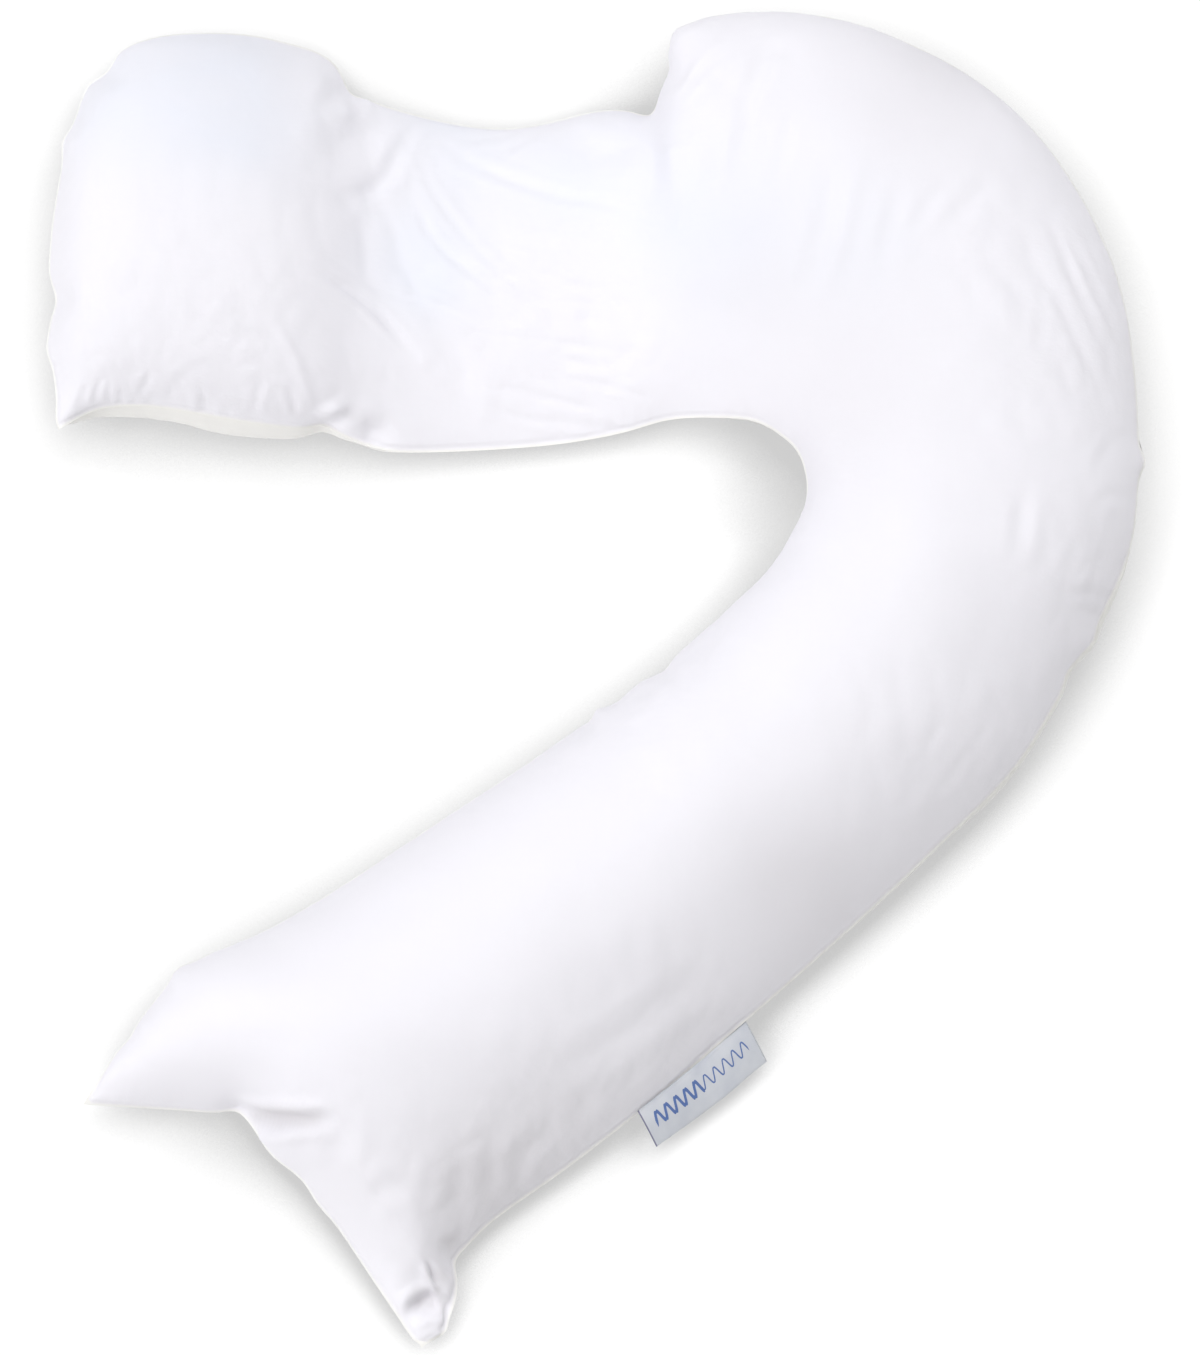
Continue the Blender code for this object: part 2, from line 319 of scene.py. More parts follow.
def settleCover(top, under):
    step = settling["step"]
    coarseTop, coarseUnder = top[::step, ::step], under[::step, ::step]
    mesh, inside = coverMesh("settling", coarseTop, coarseUnder, 1)
    item = linked("settling", mesh)
    shape = coarseTop.shape[:2]
    edge = np.ones(shape, bool)
    edge[1:-1, 1:-1] = False
    lying = np.concatenate((np.zeros(edge.size, bool), coarseUnder[inside][:, 2] < settling["lyingBelow"]))
    seam = np.concatenate((edge.reshape(-1), np.zeros(inside.sum(), bool)))
    hold, give = item.vertex_groups.new(name="hold"), item.vertex_groups.new(name="give")
    for rows, weight in ((lying, 1.0), (seam, settling["seamHold"]), (~(lying | seam), settling["hold"])):
        hold.add(np.where(rows)[0].tolist(), weight, "REPLACE")
    give.add(np.where(~seam)[0].tolist(), 1.0, "REPLACE")
    cloth = item.modifiers.new("cover", "CLOTH")
    rules = cloth.settings
    rules.quality = settling["quality"]
    rules.mass = settling["mass"]
    rules.tension_stiffness = rules.compression_stiffness = settling["stretch"]
    rules.shear_stiffness = settling["shear"]
    rules.bending_stiffness = settling["bending"]
    rules.effector_weights.gravity = 0
    rules.use_pressure = True
    rules.uniform_pressure_force = settling["pressure"]
    rules.vertex_group_mass = "hold"
    rules.vertex_group_shrink = "give"
    rules.shrink_min = 0.0
    rules.shrink_max = -settling["surplus"]
    cloth.collision_settings.use_collision = False
    for frameNumber in range(1, settling["frames"] + 1):
        bpy.context.scene.frame_set(frameNumber)
    settled = item.evaluated_get(bpy.context.evaluated_depsgraph_get()).to_mesh()
    after = np.zeros(len(settled.vertices) * 3)
    settled.vertices.foreach_get("co", after)
    after = after.reshape(-1, 3) / mm
    item.modifiers.clear()
    bpy.context.scene.frame_set(1)
    bpy.data.objects.remove(item, do_unlink=True)
    moveTop = after[:edge.size].reshape(*shape, 3) - coarseTop
    moveUnder = moveTop.copy()
    moveUnder[inside] = after[edge.size:] - coarseUnder[inside]
    rows = splineRows(np.linspace(0, shape[0] - 1, top.shape[0]), shape[0])
    columns = splineRows(np.linspace(0, shape[1] - 1, top.shape[1]), shape[1])
    for fine, move in ((top, moveTop), (under, moveUnder)):
        size = np.linalg.norm(move, axis=2, keepdims=True)
        move = move * settling["mostMove"] * np.tanh(size / settling["mostMove"]) / np.maximum(size, 1e-6)
        fine += np.einsum("us,stk,vt->uvk", rows, move, columns)
        print("settled, usual move %.1f mm, most %.1f mm" % (np.median(size), size.max()))


# ---- creases seen on the photograph: depth (mm, minus stands proud), width (mm), line (pixels)
creaseTable = [
    # pad and its neck
    (3.2, 6, ((352, 92), (357, 104), (361, 118))),
    (2.0, 8, ((340, 82), (330, 100), (318, 117))),
    (3.0, 15, ((388, 116), (350, 140), (305, 162))),
    (2.4, 7, ((415, 122), (400, 150), (380, 185), (338, 202))),
    (2.6, 4, ((298, 258), (350, 290), (380, 315), (422, 362))),
    (-2.2, 5, ((268, 312), (285, 340), (300, 372), (312, 414))),
    (1.0, 3.5, ((84, 408), (83, 396), (88, 382))),
    (0.8, 3, ((97, 403), (97, 390), (104, 376))),
    (0.7, 3, ((112, 402), (109, 390), (112, 378))),
    (1.0, 3.5, ((141, 399), (143, 388), (151, 374))),
    (0.6, 3, ((172, 403), (171, 393), (168, 382))),
    (0.8, 3, ((206, 409), (203, 396), (198, 384))),
    (0.9, 3.5, ((254, 414), (257, 397), (264, 381))),
    (1.3, 3.5, ((296, 416), (293, 401), (287, 386))),
    # slack panel
    (1.6, 4, ((360, 280), (400, 295), (440, 305), (482, 326))),
    (1.0, 6, ((382, 262), (424, 274), (478, 300))),
    (1.4, 4, ((408, 192), (430, 235), (455, 260), (490, 285), (520, 305), (552, 332))),
    (1.1, 4, ((418, 150), (434, 192), (466, 236), (504, 274), (548, 310))),
    (0.9, 4, ((470, 232), (520, 262), (570, 282), (626, 300))),
    (1.6, 5, ((438, 138), (460, 155), (500, 175), (560, 195), (620, 205), (682, 226))),
    (0.9, 4, ((458, 141), (500, 135), (522, 129))),
    (0.9, 4, ((498, 156), (542, 129))),
    (1.8, 12, ((556, 136), (600, 155), (644, 138))),
    (2.6, 11, ((362, 436), (376, 431), (392, 424))),
    # head and bend of the tube
    (4.6, 12, ((650, 112), (680, 125), (700, 140), (697, 160), (692, 204))),
    (1.5, 6, ((672, 68), (700, 40), (728, 20))),
    (0.9, 4, ((668, 92), (686, 66), (706, 46))),
    (0.9, 4, ((676, 104), (702, 72), (724, 48))),
    (1.0, 4, ((690, 112), (716, 80), (738, 58))),
    (2.2, 7, ((740, 155), (745, 110), (757, 76), (772, 52), (804, 42))),
    (-1.6, 9, ((755, 71), (740, 120), (718, 194))),
    (1.3, 6, ((772, 186), (783, 148), (792, 112))),
    (1.9, 9, ((832, 160), (825, 220), (803, 309))),
    (-1.5, 9, ((863, 150), (845, 225), (825, 301))),
    (1.2, 8, ((902, 184), (878, 278))),
    (1.0, 7, ((948, 178), (901, 240))),
    (1.1, 8, ((994, 178), (938, 234))),
    (2.8, 32, ((836, 330), (850, 430), (862, 540))),
    (0.8, 6, ((1041, 305), (1040, 355))),
    (1.4, 7, ((1024, 490), (1016, 562))),
    (-0.8, 8, ((1040, 484), (1038, 556))),
    (0.9, 4, ((1050, 228), (1082, 300), (1118, 372))),
    (0.8, 4, ((1068, 232), (1098, 296), (1126, 352))),
    (0.8, 4, ((1040, 262), (1072, 330), (1112, 408))),
    (1.0, 5, ((1132, 430), (1104, 452), (1094, 480))),
    (1.2, 5, ((1136, 500), (1108, 496), (1090, 506))),
    (1.6, 5, ((1116, 602), (1090, 594), (1062, 590))),
    (1.2, 4, ((1108, 618), (1088, 610), (1070, 612))),
    (1.4, 6, ((1016, 738), (1002, 712), (988, 686))),
    # leg
    (1.6, 5, ((598, 713), (590, 728), (578, 744))),
    (1.4, 5, ((657, 676), (648, 690), (636, 706))),
    (1.2, 5, ((722, 610), (714, 634), (698, 662))),
    (1.6, 12, ((600, 1098), (670, 1052), (742, 1006))),
    (1.4, 13, ((560, 1076), (636, 1026), (716, 968))),
    # tail
    (6.4, 6.5, ((228, 1116), (285, 1118), (338, 1122))),
    (-2.0, 5, ((238, 1104), (285, 1106), (324, 1110))),
    (2.0, 11, ((338, 1118), (345, 1164))),
    (1.6, 9, ((366, 1204), (404, 1178))),
    (1.8, 9, ((448, 1218), (456, 1194), (468, 1158))),
    (1.3, 8, ((482, 1200), (488, 1176), (498, 1152))),
    (1.6, 8, ((508, 1184), (520, 1154), (530, 1136))),
    (1.0, 7, ((536, 1158), (546, 1132), (556, 1118))),
    (1.2, 8, ((566, 1136), (578, 1112), (596, 1084))),
    # the curled corner
    (4.5, 5, ((428, 1258), (438, 1276), (449, 1294))),
    (6.0, 7, ((404, 1318), (414, 1310), (430, 1304), (452, 1305))),
    (-3.0, 5, ((410, 1330), (419, 1323), (430, 1318), (448, 1318))),
    (2.2, 6, ((440, 1250), (452, 1244), (466, 1240))),
    (-1.6, 5, ((414, 1284), (404, 1302), (400, 1318))),
]

# hollows (minus) and swellings: across and down (pixels), half length and half width (mm), turn (degrees), height
dimpleTable = [
    (428, 1290, 28, 18, 100, -9), (431, 1331, 13, 10, 0, 5),
    (330, 411, 13, 6, 20, 5), (336, 424, 12, 5, 20, -4), (375, 434, 16, 9, 160, -4),
]

# where the cloth is slack and crumpled: across and down (pixels), reach (pixels), how much
slackSpots = [
    (200, 395, 150, 0.7), (60, 250, 120, 0.5), (345, 140, 90, 0.5), (560, 330, 130, 0.8), (700, 110, 80, 0.6),
    (1090, 330, 120, 0.8), (1090, 590, 60, 0.9), (960, 760, 110, 0.5), (640, 700, 90, 0.4),
    (500, 1170, 90, 0.9), (425, 1285, 60, 0.8), (310, 1125, 70, 0.5), (640, 1060, 120, 0.4),
]

# bluish painted shade, where the cloth is made bluer and a little darker: across and down (pixels), reach
# (pixels), how much
bluishShadeSpots = [
    (200, 75, 80, 1.0), (245, 125, 60, 0.6), (115, 120, 50, 0.5), (425, 250, 60, 0.7), (440, 110, 50, 0.6),
    (480, 160, 40, 0.5), (560, 190, 45, 0.5), (430, 285, 40, 0.5), (600, 165, 70, 0.3),
    (700, 225, 80, 0.8), (850, 240, 70, 0.4),
]

# grey painted shade, where the cloth is made a little greyer
greyShadeSpots = [
    (850, 405, 95, 0.2), (220, 45, 60, 0.08), (770, 265, 80, 0.12), (880, 280, 70, 0.06), (940, 72, 75, 0.2),
    (345, 1195, 60, 0.12), (480, 1178, 70, 0.36), (560, 1110, 60, 0.15), (800, 880, 65, 0.22),
    # painted shade deep in the fold of the notch and in the curled corner
    (256, 1115, 9, 0.5), (268, 1115, 9, 0.5), (280, 1116, 9, 0.5), (292, 1117, 9, 0.5), (304, 1118, 9, 0.45),
    (316, 1119, 9, 0.4), (420, 1303, 12, 0.4), (436, 1302, 11, 0.35), (438, 1277, 11, 0.4), (450, 1243, 13, 0.25),
]

# small pulls and bumps of the seam: across and down (pixels), direction (degrees from +x), push and reach (mm)
seamTugs = [
    (55, 300, 180, -8, 16), (60, 143, 150, 7, 14), (106, 70, 135, -8, 16), (349, 90, 60, -8, 14),
    (668, 72, 180, -8, 16), (1147, 462, 0, 10, 11), (312, 1206, 220, 4, 20), (274, 1150, 218, 14, 30),
    (240, 1111, 270, -7, 16), (322, 434, 270, -5, 14), (456, 1258, 0, -6, 14), (47, 350, 180, 4, 14),
    (676, 32, 130, 4, 12),
    (72, 416, 225, 9, 16), (180, 972, 135, 5, 13), (132, 1040, 140, -3, 12), (446, 1332, -40, 7, 11),
    (420, 1350, 80, 4, 8), (600, 712, 135, 5, 9), (660, 668, 135, -4, 12), (1090, 640, -30, 4, 12),
    (1075, 676, -30, -4, 12),
]

looseCloth = {
    "seed": 5,
    "panelLines": 18,
    "panelBox": (455, 225, 705, 425),  # pixels
    "panelDepth": 0.85,
    "panelWidth": 3.6,
    "panelScatter": (0.1, 0.9),  # where a line lies in its share of the box
    "panelStart": 0.45,  # latest start, as a share of the box
    "panelLength": (70, 150),  # pixels
    "panelSlope": (-0.05, 0.22),
    "panelBend": 6,
    "depthRange": (0.6, 1.3),
    "widthRange": (0.8, 1.4),
    "lineSpacing": 6.0,  # pixels between the steps of a crease's line
    "rims": 0.45,  # height of the rims beside a crease, as a share of its depth
    "rimAt": 1.9,  # their distance from its line and their width, as shares of its width
    "rimWidth": 0.8,
    "creaseReach": 4,  # widths
    "taper": 0.35,  # share of the line over which each end fades
    "taperPower": 0.7,
    "lumps": ((160.0, 0.8), (80.0, 0.3)),  # wavelength and height of the filling's unevenness
    "crumples": ((70.0, 0.9), (34.0, 0.42), (17.0, 0.16)),  # the same for the crumpling of slack cloth
    "crumpleLevel": 0.8,
    "waves": 14,
    "waveRange": (0.75, 1.35),
    "leastSlack": 0.12,
    # distances from the seam over which each kind fades in
    "lumpFade": 40,
    "creaseFade": 6,
    "dimpleFade": 3,
    "floorMargin": 1.0,  # under cloth below this height stays plain
}


def panelCreases():
    # slack, nearly level pull lines over the panel
    chance = np.random.default_rng(looseCloth["seed"])
    left, high, right, low = looseCloth["panelBox"]
    rows = []
    for line in range(looseCloth["panelLines"]):
        y = high + (low - high) * (line + chance.uniform(*looseCloth["panelScatter"])) / looseCloth["panelLines"]
        start = chance.uniform(left, left + looseCloth["panelStart"] * (right - left))
        length = chance.uniform(*looseCloth["panelLength"])
        slope = chance.uniform(*looseCloth["panelSlope"])
        bend = chance.uniform(-looseCloth["panelBend"], looseCloth["panelBend"])
        middle = (start + length / 2, y + slope * length / 2 + bend)
        rows.append((
            looseCloth["panelDepth"] * chance.uniform(*looseCloth["depthRange"]),
            looseCloth["panelWidth"] * chance.uniform(*looseCloth["widthRange"]),
            ((start, y), middle, (start + length, y + slope * length)),
        ))
    return rows


def curvedLine(points):
    # a smooth line through the points, as close steps
    points = np.array(points, float)
    ends = np.vstack((2 * points[0] - points[1], points, 2 * points[-1] - points[-2]))
    parts = []
    for before, start, stop, after in zip(ends[:-3], ends[1:-2], ends[2:-1], ends[3:]):
        steps = max(2, int(np.linalg.norm(stop - start) / looseCloth["lineSpacing"]))
        t = np.arange(steps)[:, None] / steps
        parts.append(0.5 * (
            2 * start + (stop - before) * t + (2 * before - 5 * start + 4 * stop - after) * t**2
            + (3 * start - before - 3 * stop + after) * t**3
        ))
    return np.vstack(parts + [points[-1:]])


def creaseHeights(grid):
    seen = onPicture(grid).reshape(-1, 2)
    change = np.zeros(len(seen))
    for depth, width, line in creaseTable + panelCreases():
        path = curvedLine(line)
        reach = looseCloth["creaseReach"] * width / picture["pixel"]
        near = np.where(np.all((seen > path.min(0) - reach) & (seen < path.max(0) + reach), axis=1))[0]
        best, place = np.full(len(near), 1e9), np.zeros(len(near))
        steps = np.linalg.norm(np.diff(path, axis=0), axis=1)
        run = np.concatenate(([0], np.cumsum(steps)))
        for index in range(len(steps)):
            along = (path[index + 1] - path[index]) / steps[index]
            offset = seen[near] - path[index]
            t = np.clip(offset @ along, 0, steps[index])
            away = np.linalg.norm(offset - t[:, None] * along, axis=1)
            closer = away < best
            best[closer] = away[closer]
            place[closer] = run[index] + t[closer]
        away = best * picture["pixel"] / width
        toEnd = np.minimum(place, run[-1] - place) / (looseCloth["taper"] * run[-1])
        taper = np.clip(toEnd, 0, 1) ** looseCloth["taperPower"]
        rims = np.exp(-((away - looseCloth["rimAt"]) / looseCloth["rimWidth"]) ** 2)
        rims *= looseCloth["rims"] * (depth > 0)
        change[near] += depth * (rims - np.exp(-away**2)) * taper
    return change.reshape(grid.shape[:2])


def roughField(places, wavelength, chance):
    # a random soft field of unit size over the flat cloth, from waves in many directions
    waves = looseCloth["waves"]
    field = np.zeros(places.shape[:2])
    for wave in range(waves):
        angle = chance.uniform(0, 2 * math.pi)
        turn = 2 * math.pi / (wavelength * mm * chance.uniform(*looseCloth["waveRange"]))
        way = places @ np.array((math.cos(angle), math.sin(angle)))
        field += math.sqrt(2 / waves) * np.sin(way * turn + chance.uniform(0, 2 * math.pi))
    return field


def dimpleHeights(seen):
    heights = np.zeros(seen.shape[:2])
    for across, down, long, wide, turn, height in dimpleTable:
        offset = (seen - np.array((across, down))) * picture["pixel"]
        turnCos, turnSin = math.cos(math.radians(turn)), math.sin(math.radians(turn))
        lengthways = offset[..., 0] * turnCos - offset[..., 1] * turnSin
        sideways = offset[..., 0] * turnSin + offset[..., 1] * turnCos
        heights += height * np.exp(-((lengthways / long) ** 2) - (sideways / wide) ** 2)
    return heights


def spotted(seen, spots, least):
    amounts = np.full(seen.shape[:2], least)
    for across, down, reach, amount in spots:
        away = np.linalg.norm(seen - np.array((across, down)), axis=2)
        amounts += amount * np.exp(-((away / reach) ** 2))
    return np.minimum(amounts, 1.0)


def clothMarks(cloth):
    # what the finish reads at each point: how slack, how much bluish and grey painted shade, how near the seam's
    # edge
    seen = onPicture(cloth)
    return {
        "slack": spotted(seen, slackSpots, looseCloth["leastSlack"]),
        "bluishShade": spotted(seen, bluishShadeSpots, 0.0),
        "greyShade": spotted(seen, greyShadeSpots, 0.0),
        "hem": np.exp(-((seamPlaces(cloth)[0] / seamFinish["edging"]) ** 2)),
    }


# ---- the seam: a narrow gutter where the two cloths meet, with the cloth gathered along it
seamFinish = {
    "seed": 11,
    "edging": 2.6,  # how far the paler edge reaches in from the seam
    "gutter": 1.2,
    "gutterAt": 3.8,  # from the seam, so that the seam itself stands as a thin edge
    "gutterWidth": 2.8,
    "pucker": 2.2,
    "puckerReach": 18.0,
    "puckerSteps": (7.0, 12.0, 26.0),  # lengths of one pucker along the seam, and the share of each
    "puckerShares": (0.5, 0.8, 0.7),
    "puckerLevel": 0.35,
    "puckerStart": 5.0,  # from the seam
    "tautPucker": 0.4,  # what is left of it where the cloth is taut
    "sideGap": 50.0,  # keeps the waves of the four sides apart
}


def waveAlong(distance, step, chance):
    # smooth random wave with one value every step
    values = chance.uniform(-1, 1, int(distance.max() / step) + 4)
    place = distance / step
    first = place.astype(int)
    t = place - first
    t = t * t * (3 - 2 * t)
    return values[first] * (1 - t) + values[first + 1] * t


def seamPlaces(grid):
    # distance of each point to the nearest seam along the cloth, and how far round the seam that place is
    acrossRun, alongRun = lengthsAlong(grid, 1), lengthsAlong(grid, 0)
    innerSide, outerSide = alongRun[:, :1], alongRun[:, -1:]
    start, finish = acrossRun[:1], acrossRun[-1:]
    longest = alongRun.max() + seamFinish["sideGap"]
    distances = np.stack((acrossRun, acrossRun[:, -1:] - acrossRun, alongRun, alongRun[-1:] - alongRun))
    sides = (innerSide, longest + outerSide, 2 * longest + start, 3 * longest + finish)
    rounds = np.stack(np.broadcast_arrays(*sides))
    side = distances.argmin(axis=0)[None]
    return np.take_along_axis(distances, side, 0)[0], np.take_along_axis(rounds, side, 0)[0]


def seamHeights(grid, chance):
    away, place = seamPlaces(grid)
    waves = [waveAlong(place, step, chance) for step in seamFinish["puckerSteps"]]
    mixed = sum(share * wave for share, wave in zip(seamFinish["puckerShares"], waves))
    gathered = seamFinish["puckerLevel"] - np.abs(mixed)
    fade = np.exp(-away / seamFinish["puckerReach"]) * (1 - np.exp(-((away / seamFinish["puckerStart"]) ** 2)))
    gutter = seamFinish["gutter"] * np.exp(-(((away - seamFinish["gutterAt"]) / seamFinish["gutterWidth"]) ** 2))
    return seamFinish["pucker"] * gathered * fade, gutter * np.clip(away, 0, 1)


def shapeCloths(top, under):
    chance = np.random.default_rng(seamFinish["seed"])
    for cloth, facing in ((top, 1), (under, -1)):
        seen, places = onPicture(cloth), cutPlaces(cloth)
        away = seamPlaces(cloth)[0]
        slack = spotted(seen, slackSpots, looseCloth["leastSlack"])
        normals = gridNormals(cloth)
        normals *= facing * np.sign(normals[..., 2].mean())
        heights = sum(height * roughField(places, length, chance) for length, height in looseCloth["lumps"])
        for length, height in looseCloth["crumples"]:
            heights += slack * height * (np.abs(roughField(places, length, chance)) - looseCloth["crumpleLevel"])
        heights *= np.clip(away / looseCloth["lumpFade"], 0, 1)
        gathered, gutter = seamHeights(cloth, chance)
        taut = seamFinish["tautPucker"]
        heights += gathered * (taut + (1 - taut) * slack) - gutter
        if facing > 0:
            heights += creaseHeights(cloth) * np.clip(away / looseCloth["creaseFade"], 0, 1)
            heights += dimpleHeights(seen) * np.clip(away / looseCloth["dimpleFade"], 0, 1)
        else:
            heights[cloth[..., 2] < looseCloth["floorMargin"]] = 0
        cloth += normals * heights[..., None]
    for cloth in (top, under):
        seen = onPicture(cloth)
        for across, down, direction, push, reach in seamTugs:
            away = np.linalg.norm(seen - np.array((across, down)), axis=2) * picture["pixel"]
            way = np.array((math.cos(math.radians(direction)), math.sin(math.radians(direction)), 0.0))
            cloth += push * np.exp(-((away / reach) ** 2))[..., None] * way
        cloth[..., 2] = np.maximum(cloth[..., 2], 0.0)


# ---- finishes
class Wire:
    # wraps a socket, so that shader maths reads as sums
    def __init__(self, finish, socket):
        self.finish = finish
        self.socket = socket

    def __add__(self, other):
        return self.finish.maths("ADD", self, other)

    def __radd__(self, other):
        return self.finish.maths("ADD", other, self)

    def __sub__(self, other):
        return self.finish.maths("SUBTRACT", self, other)

    def __rsub__(self, other):
        return self.finish.maths("SUBTRACT", other, self)

    def __mul__(self, other):
        return self.finish.maths("MULTIPLY", self, other)

    def __rmul__(self, other):
        return self.finish.maths("MULTIPLY", other, self)


class Finish:
    def __init__(self, name, **shaderValues):
        self.material = bpy.data.materials.new(name)
        self.material.use_nodes = True
        self.tree = self.material.node_tree
        self.shader = self.tree.nodes["Principled BSDF"]
        for socket, value in shaderValues.items():
            self.shader.inputs[socket.replace("_", " ")].default_value = value

    def node(self, kind, settings=None, sockets=None, output=0):
        made = self.tree.nodes.new(kind)
        for name, value in (settings or {}).items():
            setattr(made, name, value)
        for socket, value in (sockets or {}).items():
            if isinstance(value, Wire):
                self.tree.links.new(value.socket, made.inputs[socket])
            else:
                made.inputs[socket].default_value = value
        return Wire(self, made.outputs[output])

    def feed(self, socket, wire):
        self.tree.links.new(wire.socket, self.shader.inputs[socket])

    def noise(self, place, kind):
        scale, detail, roughness = kind
        sockets = {"Vector": place, "Scale": scale, "Detail": detail, "Roughness": roughness}
        return self.node("ShaderNodeTexNoise", {}, sockets)

    def maths(self, operation, first, second=0.0):
        return self.node("ShaderNodeMath", {"operation": operation}, {0: first, 1: second})

    def mark(self, name):
        return self.node("ShaderNodeAttribute", {"attribute_name": name}, output=2)

    def colourMix(self, factor, first, second):
        return self.node("ShaderNodeMix", {"data_type": "RGBA"}, {0: factor, 6: first, 7: second}, output=2)

    def split(self, place):
        return [self.node("ShaderNodeSeparateXYZ", {}, {"Vector": place}, output=axis) for axis in range(2)]


cotton = {
    # light and dark tones of each cloth, then the colours of its bluish painted shade and its grey painted shade
    "top": (
        (0.874, 0.864, 0.912, 1.0), (0.852, 0.842, 0.894, 1.0),
        (0.816, 0.838, 0.918, 1.0), (0.62, 0.60, 0.62, 1.0),
    ),
    "under": (
        (0.885, 0.879, 0.862, 1.0), (0.855, 0.846, 0.824, 1.0),
        (0.85, 0.846, 0.826, 1.0), (0.62, 0.60, 0.58, 1.0),
    ),
    "hem": (0.885, 0.878, 0.850, 1.0),
    "specular": 0.25,
    "sheen": 0.12,
    "sheenRoughness": 0.45,
    "roughness": 0.78,
    "slubRoughness": 0.1,
    "thread": 0.00055,  # metres from one thread to the next
    "waver": 1.6,  # how far the threads wander
    # scale, detail and roughness of each noise
    "waverNoise": (90.0, 2.0, 0.5),
    "slubNoise": (1.0, 3.0, 0.6),
    "cloudNoise": (14.0, 4.0, 0.55),
    "crinkleNoise": (1.0, 5.0, 0.55),
    "fineNoise": (60.0, 3.0, 0.5),
    "slubScale": (260.0, 26.0, 1.0),
    "mottle": (0.6, 0.3, 0.06),  # share of clouds, slubs and weave in the darker tone
    "bluishShadeShare": (0.4, 0.8),  # even and cloudy share of the bluish painted shade
    "crinkleScale": (12.0, 26.0, 1.0),
    "crinkleTurn": 0.5,  # radians
    "fineShare": 0.3,
    "crinkleDepth": 0.0018,
    "crinkleStrength": 0.7,
    "crinkleSlack": (0.35, 0.9),  # how much on taut cloth, and what slackness adds
    "weaveDepth": 0.00012,
    "weaveStrength": 0.5,
    "weaveShare": (0.5, 0.8),  # weave and slubs
}


def cottonFinish(name, light, dark, bluishShade, greyShade):
    finish = Finish(
        name, Specular_IOR_Level=cotton["specular"], Sheen_Weight=cotton["sheen"],
        Sheen_Roughness=cotton["sheenRoughness"],
    )
    cut = finish.node("ShaderNodeUVMap", {"uv_map": "cut"})
    lengthways, crosswise = finish.split(cut)
    turn = math.pi / cotton["thread"]
    waver = finish.noise(cut, cotton["waverNoise"]) * cotton["waver"]
    weave = finish.maths("SINE", lengthways * turn + waver) * finish.maths("SINE", crosswise * turn + waver)
    stretched = finish.node("ShaderNodeMapping", {}, {"Vector": cut, "Scale": cotton["slubScale"]})
    slub = finish.noise(stretched, cotton["slubNoise"])
    cloudy = finish.noise(cut, cotton["cloudNoise"])

    clouds, slubs, weaves = cotton["mottle"]
    plain = finish.colourMix(cloudy * clouds + slub * slubs + weave * weaves, light, dark)
    evenly, cloudily = cotton["bluishShadeShare"]
    # painted shade: bluer and a little darker where the cloth lies in bluish shade
    paintShadedTone = finish.colourMix(finish.mark("bluishShade") * (cloudy * cloudily + evenly), plain, bluishShade)
    # painted shade: greyer on the shaded flanks, in the notch's fold and in the curled corner
    paintShadedTone = finish.colourMix(finish.mark("greyShade"), paintShadedTone, greyShade)
    finish.feed("Base Color", finish.colourMix(finish.mark("hem"), paintShadedTone, cotton["hem"]))
    finish.feed("Roughness", slub * cotton["slubRoughness"] + cotton["roughness"])

    ripple = finish.node("ShaderNodeMapping", {}, {
        "Vector": cut, "Rotation": (0, 0, cotton["crinkleTurn"]), "Scale": cotton["crinkleScale"],
    })
    crumple = finish.noise(ripple, cotton["crinkleNoise"])
    crumple = crumple + finish.noise(cut, cotton["fineNoise"]) * cotton["fineShare"]
    taut, slackly = cotton["crinkleSlack"]
    soft = finish.node("ShaderNodeBump", {}, {
        "Height": crumple * (finish.mark("slack") * slackly + taut),
        "Distance": cotton["crinkleDepth"], "Strength": cotton["crinkleStrength"],
    })
    weaves, slubs = cotton["weaveShare"]
    threads = finish.node("ShaderNodeBump", {}, {
        "Height": weave * weaves + slub * slubs,
        "Distance": cotton["weaveDepth"], "Strength": cotton["weaveStrength"], "Normal": soft,
    })
    finish.feed("Normal", threads)
    return finish.material


def buildPillow():
    top, under = clothGrids(pillowForm["alongGrid"], pillowForm["acrossGrid"])
    print("pillow: settling the cover")
    settleCover(top, under)
    print("pillow: creases and seam")
    shapeCloths(top, under)
    pillow = linked("fullPillow", coverMesh("fullPillow", top, under, pillowForm["underRatio"])[0])
    pillow.data.materials.append(cottonFinish("topCotton", *cotton["top"]))
    pillow.data.materials.append(cottonFinish("underCotton", *cotton["under"]))
    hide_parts("pillow")
    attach(pillow, "root")
    return pillow


